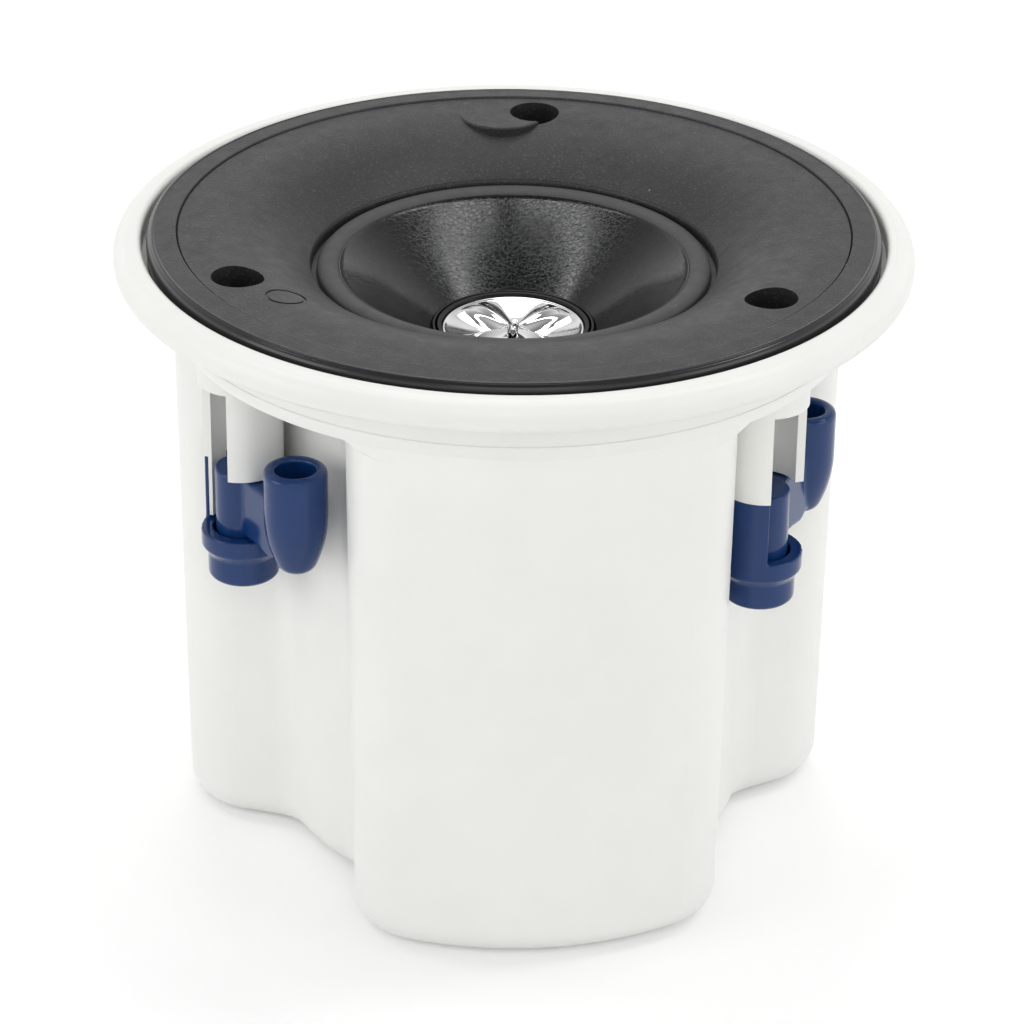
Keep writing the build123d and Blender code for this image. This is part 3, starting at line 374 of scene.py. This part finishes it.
def coated_paper(name, color, crease_color, roughness):
    """Coated cone paper: felted creases and a broad, uneven sheen."""
    material, tree, base = shader(name, color, roughness)
    wave = tree.nodes.new("ShaderNodeTexNoise")
    wave.inputs["Scale"].default_value = CREASE_WAVE_CELLS
    tree.links.new(place(tree), wave.inputs["Vector"])
    bent = tree.nodes.new("ShaderNodeMix")
    bent.data_type = "VECTOR"
    bent.inputs["Factor"].default_value = CREASE_WAVE
    tree.links.new(place(tree), bent.inputs["A"])
    tree.links.new(wave.outputs["Color"], bent.inputs["B"])
    creases = tree.nodes.new("ShaderNodeTexVoronoi")
    creases.feature = "DISTANCE_TO_EDGE"
    creases.inputs["Scale"].default_value = CREASE_CELLS
    tree.links.new(bent.outputs["Result"], creases.inputs["Vector"])
    lines = remap(tree, creases.outputs["Distance"], 1.0, 0.0, 0.0, CREASE_WIDTH)
    felt = math_node(tree, "MULTIPLY", noise(tree, FELT_CELLS), FELT_SHARE)
    bump(tree, base, math_node(tree, "ADD", lines, felt), CREASE_DEPTH)
    patches = remap(tree, noise(tree, CONE_TONE_CELLS), 0.0, 1.0)
    tone = mix_color(tree, patches, *tones(color, CONE_VARIATION))
    tree.links.new(mix_color(tree, lines, tone, crease_color), base.inputs["Base Color"])
    gloss = remap(tree, noise(tree, CONE_GLOSS_CELLS), roughness * 0.9, roughness * 1.15)
    tree.links.new(gloss, base.inputs["Roughness"])
    return material


def metal(name, color, roughness):
    """Plated or bare metal with faint patches of gloss."""
    material, tree, base = shader(name, color, roughness, 1.0)
    gloss = remap(tree, noise(tree, METAL_GLOSS_CELLS), roughness * 0.8, roughness * 1.3)
    tree.links.new(gloss, base.inputs["Roughness"])
    bump(tree, base, noise(tree, METAL_WAVE_CELLS, 1.0), METAL_WAVE_DEPTH)
    return material


def make_materials():
    """One material for each slot of the record, and one for the baffle's glossy edge."""
    materials = {name: metal(name, *row) for name, row in METALS.items()}
    for name, (color, roughness, grain_scale, grain_depth, special) in PLASTICS.items():
        materials[name] = plastic(name, color, roughness, grain_scale, grain_depth, **special)
    materials["cone_paper"] = coated_paper("cone_paper", CONE_COLOR, CREASE_COLOR, CONE_ROUGHNESS)
    return materials


def dress_frame(frame, materials):
    """Gives every CAD node its slot's material, and the clamps' mouldings round edges."""
    slots = {row["node"]: row["material_slot"] for row in frame["record"]["subparts"]}
    bodies = frame["record"]["behaviour"]["bodies"]
    carriers = {name: body for body, names in bodies.items() for name in names}
    for name, node in frame["nodes"].items():
        node.data.materials.clear()
        node.data.materials.append(materials[slots[name]])
        smooth(node)
        kind = name.rstrip("_123")
        if kind in EDGE_ROUNDS:
            make_moulding(name, node, EDGE_ROUNDS[kind], carriers[name])


def make_moulding(name, node, rounds, body):
    """Copy of a moulded CAD piece with round edges that catch the light, shown in place of its node."""
    piece = bpy.data.objects.new(name + "_moulded", node.data.copy())
    bpy.context.scene.collection.objects.link(piece)
    even = piece.modifiers.new("even_mesh", "REMESH")
    even.mode = "VOXEL"
    even.voxel_size = EDGE_VOXEL
    even.use_smooth_shade = True
    soften = piece.modifiers.new("soft_edges", "SMOOTH")
    soften.iterations = rounds
    thin = piece.modifiers.new("fewer_faces", "DECIMATE")
    thin.ratio = EDGE_FACES
    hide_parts(name)
    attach(piece, body)


def lathe(name, outline, material):
    """Closed outline of (radius, height) points turned about the axis, with its faces outwards."""
    sides = zip(outline, outline[1:] + outline[:1])
    if sum(r * next_z - next_r * z for (r, z), (next_r, next_z) in sides) < 0:
        outline = outline[::-1]
    points = []
    faces = []
    count = len(outline)
    for step in range(LATHE_STEPS):
        angle = 2 * math.pi * step / LATHE_STEPS
        points += [(r * math.cos(angle), r * math.sin(angle), z) for r, z in outline]
        first = step * count
        other = (step + 1) % LATHE_STEPS * count
        for index in range(count):
            following = (index + 1) % count
            faces.append((first + index, other + index, other + following, first + following))
    return new_object(name, points, faces, [material])


def trim_ring(name, outline_mm, material, body="speaker_body"):
    """Turned trim on a body, from an outline in millimetres."""
    piece = lathe(name, [(r / 1000, z / 1000) for r, z in outline_mm], material)
    smooth(piece, TURNED_CREASE_DEG)
    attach(piece, body)
    return piece


def arc(middle, radius, first_deg, last_deg, steps):
    """Points of an arc, as (radius, height) pairs."""
    angles = [math.radians(first_deg + (last_deg - first_deg) * index / steps) for index in range(steps + 1)]
    return [(middle[0] + radius * math.cos(a), middle[1] + radius * math.sin(a)) for a in angles]


def bend(first, control, last, steps):
    """Points of a curve from the first to the last point, drawn towards the control point between them."""
    shares = [index / steps for index in range(steps + 1)]
    axes = list(zip(first, control, last))
    return [tuple((1 - t) ** 2 * a + 2 * t * (1 - t) * b + t ** 2 * c for a, b, c in axes) for t in shares]


def make_trim(materials):
    """Fine turned edges: the baffle's rim and lip, the bezel's inner edge and the can's rim."""
    black = materials["baffle_plastic"]
    white = materials["white_plastic"]
    rim = RIM_TOP + arc(*RIM_BEAD_ARC) + arc(*RIM_CORNER_ARC) + RIM_UNDER
    piece = trim_ring("baffle_rim", rim, black)
    piece.data.materials.append(materials["baffle_edge"])
    for polygon in piece.data.polygons:
        polygon.material_index = int(polygon.center.xy.length > EDGE_GLOSS)
    trim_ring("opening_lip", OPENING_LIP, black)
    trim_ring("bezel_edge", BEZEL_FOOT + arc(*BEZEL_ARC) + BEZEL_UNDER, white)
    trim_ring("can_rim", CAN_RIM, white)


def make_cone_face(materials):
    """The cone's fine face, up to the turned edge that the surround's roll is glued to."""
    outline = bend(*CONE_SLOPE) + arc(*CONE_EDGE_ARC) + CONE_UNDER
    trim_ring("cone_face", outline, materials["cone_paper"], "cone_assembly")


def make_surround(materials):
    """Rubber half roll that flexes between the basket and the moving cone."""
    low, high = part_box("surround")
    outer = high[0]
    base = low[2] + SKIN
    half = (ROLL_OUTER - ROLL_INNER) / 2
    middle = (ROLL_OUTER + ROLL_INNER) / 2
    inner = ROLL_INNER - GLUE_WIDTH
    seat = high[2] - ROLL_RISE
    arch = [math.pi * index / ROLL_STEPS for index in range(ROLL_STEPS + 1)]
    top = [(outer, base), (ROLL_OUTER + SKIN / 4, base)]
    top += [(middle + half * math.cos(a), seat + ROLL_RISE * math.sin(a)) for a in arch]
    top += [(ROLL_INNER - GLUE_WIDTH / 3, (seat + base) / 2), (inner, base), (inner, base - SKIN)]
    thin = half - SKIN
    under = [(middle - thin * math.cos(a), seat - SKIN + ROLL_RISE * math.sin(a)) for a in arch]
    foot = base - SKIN
    under = [(under[0][0], foot)] + under + [(under[-1][0], foot), (outer, foot)]
    piece = lathe("surround_roll", top + under, materials["surround_rubber"])
    piece.data.materials.append(materials["cone_paper"])
    for polygon in piece.data.polygons:
        polygon.material_index = int(polygon.center.xy.length < ROLL_INNER)
    smooth(piece, TURNED_CREASE_DEG)
    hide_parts("surround")
    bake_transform(piece, "speaker_body", "cone_assembly", start=(0, 0, 0), end=(0, 0, 1))
    weights = piece.data.attributes["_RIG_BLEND"]
    for vertex, weight in zip(piece.data.vertices, weights.data):
        weight.value = 1 - ease(vertex.co.xy.length, ROLL_INNER, ROLL_OUTER)


def plug_height(radius, angle, rim_radius):
    """Height of the plug's front over its rim, and how deep in a slot the point is."""
    dish = rim_radius - PLUG_RIM
    if radius >= dish:
        return RIM_BEAD * math.sin(math.pi * (radius - dish) / PLUG_RIM), 0.0
    share = radius / dish
    sector = 2 * math.pi / PETALS
    offset = (angle - math.pi / 2 + sector / 2) % sector - sector / 2
    half_width = PETAL_FOOT + (PETAL_HALF_WIDTH - PETAL_FOOT) * share
    aside = radius * abs(abs(offset) - sector / 2)
    petal = 1 - ease(aside, 0.0, half_width)
    scoop = -FAN_DEPTH * (1 - share ** 2)
    swell = math.sin(math.pi * share ** PETAL_SWELL)
    rib = PETAL_RIB * math.cos(2 * math.pi * PETAL_RIBS * aside / half_width)
    height = scoop * (1 - petal) + (PETAL_RISE + rib) * petal * swell
    across = abs(radius * math.sin(offset))
    width = SLOT_HALF_WIDTH * (1 - SLOT_TAPER * ease(radius, SLOT_INNER, SLOT_OUTER))
    slot = 1 - ease(across, width * SLOT_EDGE[0], width * SLOT_EDGE[1])
    slot *= ease(radius, SLOT_INNER, SLOT_INNER + SLOT_END)
    slot *= 1 - ease(radius, SLOT_OUTER - SLOT_END, SLOT_OUTER)
    return height - SLOT_DROP * slot, slot


def make_plug(materials):
    """Bright plug: polished rim, four petals, smooth fans between them and shallow slots whose floors are
    painted black as painted shade of deep ports.
    """
    low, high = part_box("phase_plug")
    rim_radius = high[0]
    rim_height = high[2] - PLUG_RIM_DROP
    rings = [rim_radius * (index + 1) / PLUG_RINGS for index in range(PLUG_RINGS)]
    points = [(0, 0, rim_height - FAN_DEPTH)]
    painted_slot_shade = [0.0]
    for radius in rings:
        for spoke in range(PLUG_SPOKES):
            angle = 2 * math.pi * spoke / PLUG_SPOKES
            height, slot = plug_height(radius, angle, rim_radius)
            points.append((radius * math.cos(angle), radius * math.sin(angle), rim_height + height))
            painted_slot_shade.append(slot)
    for spoke in range(PLUG_SPOKES):
        angle = 2 * math.pi * spoke / PLUG_SPOKES
        points.append((rim_radius * math.cos(angle), rim_radius * math.sin(angle), low[2]))
        painted_slot_shade.append(0.0)
    faces = []
    for spoke in range(PLUG_SPOKES):
        beside = (spoke + 1) % PLUG_SPOKES
        faces.append((0, 1 + spoke, 1 + beside))
        for ring in range(PLUG_RINGS):
            first = 1 + ring * PLUG_SPOKES
            outer = first + PLUG_SPOKES
            faces.append((first + spoke, outer + spoke, outer + beside, first + beside))
    last = 1 + PLUG_RINGS * PLUG_SPOKES
    faces.append(tuple(reversed(range(last, last + PLUG_SPOKES))))
    piece = new_object("plug_petals", points, faces, [materials["chrome_plug"], materials["black_plastic"]])
    # Faces deep in a slot get black plastic: painted shade standing in for the darkness inside a port through
    # the plug
    for polygon in piece.data.polygons:
        depth = sum(painted_slot_shade[index] for index in polygon.vertices) / len(polygon.vertices)
        polygon.material_index = int(depth > 0.5)
    smooth(piece, PLUG_CREASE_DEG)
    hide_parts("phase_plug")
    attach(piece, "speaker_body")


def make_camera():
    """Camera at the photo's viewing angle."""
    data = bpy.data.cameras.new("camera")
    data.lens = FOCAL_LENGTH_MM
    data.sensor_width = SENSOR_WIDTH_MM
    camera = bpy.data.objects.new("camera", data)
    bpy.context.scene.collection.objects.link(camera)
    azimuth = math.radians(CAMERA_AZIMUTH_DEG)
    pitch = math.radians(CAMERA_PITCH_DEG)
    level = math.cos(pitch)
    forward = Vector((-math.sin(azimuth) * level, math.cos(azimuth) * level, -math.sin(pitch)))
    camera.location = CAMERA_PLACE
    camera.rotation_mode = "QUATERNION"
    roll = Matrix.Rotation(math.radians(CAMERA_ROLL_DEG), 4, "Z").to_quaternion()
    camera.rotation_quaternion = forward.to_track_quat("-Z", "Y") @ roll
    bpy.context.scene.camera = camera


def softbox(name, place, target, width, length, power):
    """Rectangular lamp that faces a point."""
    data = bpy.data.lights.new(name, "AREA")
    data.shape = "RECTANGLE"
    data.size = width
    data.size_y = length
    data.energy = power
    lamp = bpy.data.objects.new(name, data)
    bpy.context.scene.collection.objects.link(lamp)
    lamp.location = place
    lamp.rotation_mode = "QUATERNION"
    lamp.rotation_quaternion = (Vector(target) - Vector(place)).to_track_quat("-Z", "Y")


def seen_rays(tree):
    """1 for rays that show the background: from the camera, off gloss, or through glass."""
    path = tree.nodes.new("ShaderNodeLightPath")
    total = path.outputs["Is Camera Ray"]
    for name in ("Is Glossy Ray", "Is Transmission Ray"):
        total = math_node(tree, "MAXIMUM", total, path.outputs[name])
    return total


def make_world():
    """White sky, like the bright walls and dim ceiling of a studio."""
    world = bpy.data.worlds.new("studio")
    bpy.context.scene.world = world
    world.use_nodes = True
    tree = world.node_tree
    back = tree.nodes["Background"]
    back.inputs["Color"].default_value = (1.0, 1.0, 1.0, 1.0)
    split = tree.nodes.new("ShaderNodeSeparateXYZ")
    coordinates = tree.nodes.new("ShaderNodeTexCoord")
    tree.links.new(coordinates.outputs["Generated"], split.inputs["Vector"])
    strength = remap(tree, split.outputs["Z"], SKY_HORIZON, SKY_ZENITH, SKY_LOW, SKY_HIGH)
    tree.links.new(strength, back.inputs["Strength"])


def make_floor():
    """Pale floor: white to the eye, but for the object's soft shadow."""
    corners = [(x * FLOOR_RADIUS, y * FLOOR_RADIUS, 0.0) for x, y in ((-1, -1), (1, -1), (1, 1), (-1, 1))]
    tone = (FLOOR_TONE, FLOOR_TONE, FLOOR_TONE)
    tone_seen = (FLOOR_TONE_SEEN, FLOOR_TONE_SEEN, FLOOR_TONE_SEEN)
    material, tree, base = shader("floor_paper", tone, 1.0)
    base.inputs["Specular IOR Level"].default_value = 0.0
    base.inputs["Emission Color"].default_value = (1.0, 1.0, 1.0, 1.0)
    seen = seen_rays(tree)
    tree.links.new(remap(tree, seen, 0.0, FLOOR_GLOW, 0.0, 1.0), base.inputs["Emission Strength"])
    tree.links.new(mix_color(tree, seen, tone, tone_seen), base.inputs["Base Color"])
    floor = new_object("floor", corners, [(0, 1, 2, 3)], [material])


def make_stage():
    """Camera, floor, sky and lamps."""
    make_camera()
    make_world()
    make_floor()
    for name, (spot, width, length, power) in LAMPS.items():
        softbox(name, spot, LAMP_AIM, width, length, power)
    bpy.context.scene.view_settings.view_transform = "Standard"


def main():
    """Builds the scene around the frame."""
    bpy.ops.wm.read_factory_settings(use_empty=True)
    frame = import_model()
    materials = make_materials()
    dress_frame(frame, materials)
    make_trim(materials)
    make_cone_face(materials)
    make_surround(materials)
    make_plug(materials)
    make_stage()


main()
